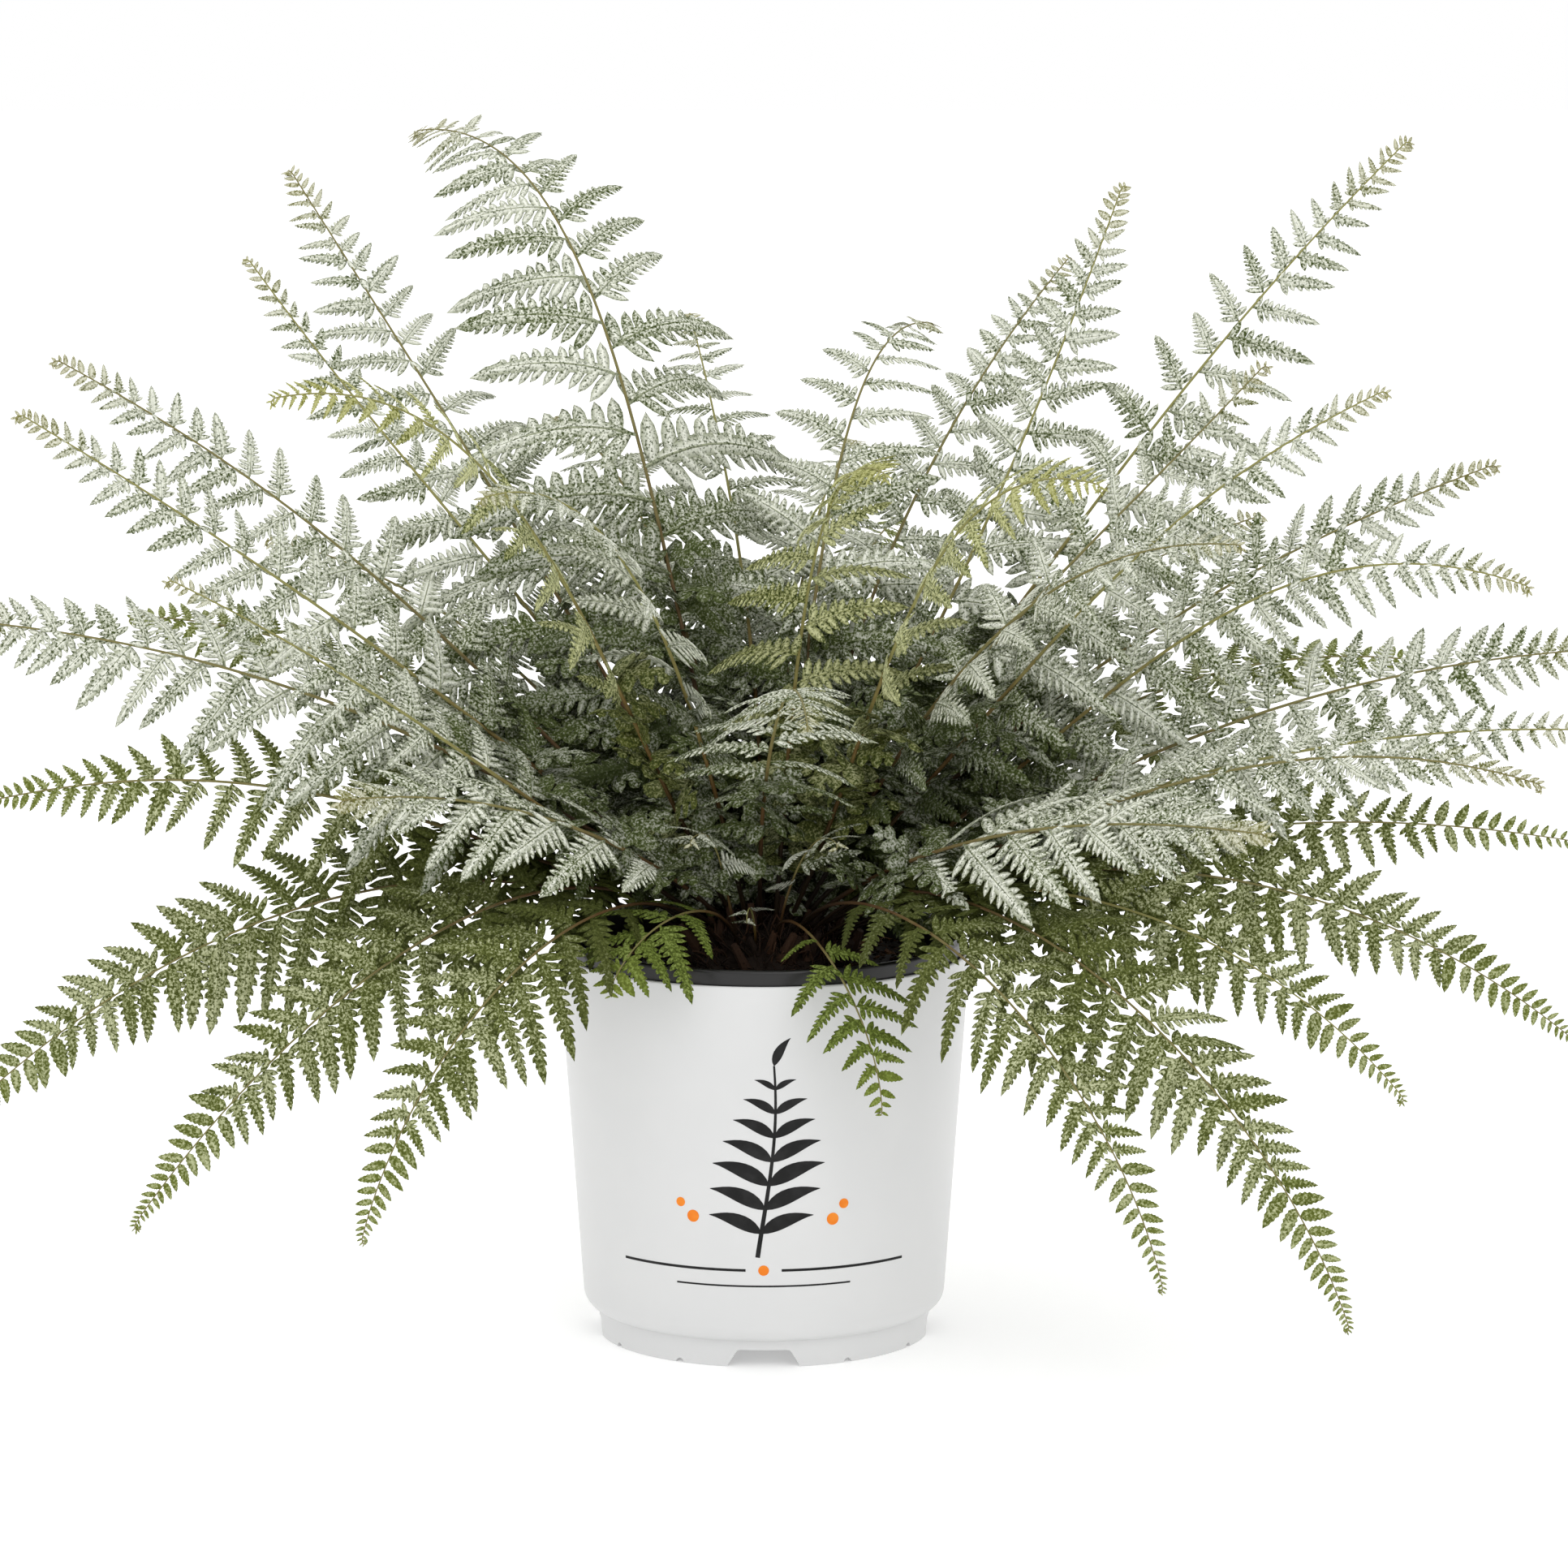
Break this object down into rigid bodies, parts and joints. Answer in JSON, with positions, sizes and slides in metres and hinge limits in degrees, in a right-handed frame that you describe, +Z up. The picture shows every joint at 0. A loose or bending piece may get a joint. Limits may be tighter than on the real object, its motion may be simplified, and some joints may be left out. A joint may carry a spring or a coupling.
{
  "type": "potted fern",
  "caption": "Silver lady fern with arching and drooping fronds, growing in a black grow pot that stands inside a white tapered plastic pot.",
  "frame": {"origin": "on the ground under the pots' axis, at the middle of the plant's width and depth", "axes": "+Z up, -Y towards the front, +X to the right seen from the front"},
  "size_m": [0.6606, 0.4293, 0.4679],
  "materials": {
    "white_plastic": "satin",
    "black_plastic": "satin",
    "dark_mix": "matte",
    "brown_rhizome": "matte",
    "silver_leaf": "matte",
    "green_leaf": "matte"
  },
  "bodies": {
    "root": {"crown": "brown_rhizome", "drooping_frond_1": "green_leaf", "drooping_frond_10": "green_leaf", "drooping_frond_11": "green_leaf", "drooping_frond_12": "green_leaf", "drooping_frond_13": "green_leaf", "drooping_frond_2": "green_leaf", "drooping_frond_3": "green_leaf", "drooping_frond_4": "green_leaf", "drooping_frond_5": "green_leaf", "drooping_frond_6": "green_leaf", "drooping_frond_7": "green_leaf", "drooping_frond_8": "green_leaf", "drooping_frond_9": "green_leaf", "grow_pot": "black_plastic", "leaning_frond_1": "silver_leaf", "leaning_frond_10": "silver_leaf", "leaning_frond_11": "silver_leaf", "leaning_frond_12": "silver_leaf", "leaning_frond_13": "silver_leaf", "leaning_frond_14": "silver_leaf", "leaning_frond_15": "silver_leaf", "leaning_frond_16": "silver_leaf", "leaning_frond_2": "silver_leaf", "leaning_frond_3": "silver_leaf", "leaning_frond_4": "silver_leaf", "leaning_frond_5": "silver_leaf", "leaning_frond_6": "silver_leaf", "leaning_frond_7": "silver_leaf", "leaning_frond_8": "silver_leaf", "leaning_frond_9": "silver_leaf", "outer_pot": "white_plastic", "potting_mix": "dark_mix", "spreading_frond_1": "silver_leaf", "spreading_frond_10": "silver_leaf", "spreading_frond_11": "silver_leaf", "spreading_frond_12": "silver_leaf", "spreading_frond_13": "silver_leaf", "spreading_frond_14": "silver_leaf", "spreading_frond_2": "silver_leaf", "spreading_frond_3": "silver_leaf", "spreading_frond_4": "silver_leaf", "spreading_frond_5": "silver_leaf", "spreading_frond_6": "silver_leaf", "spreading_frond_7": "silver_leaf", "spreading_frond_8": "silver_leaf", "spreading_frond_9": "silver_leaf", "upright_frond_1": "silver_leaf", "upright_frond_2": "silver_leaf", "upright_frond_3": "silver_leaf", "upright_frond_4": "silver_leaf", "upright_frond_5": "silver_leaf", "upright_frond_6": "silver_leaf", "young_frond_1": "silver_leaf", "young_frond_2": "silver_leaf", "young_frond_3": "silver_leaf"}
  },
  "joints": []
}
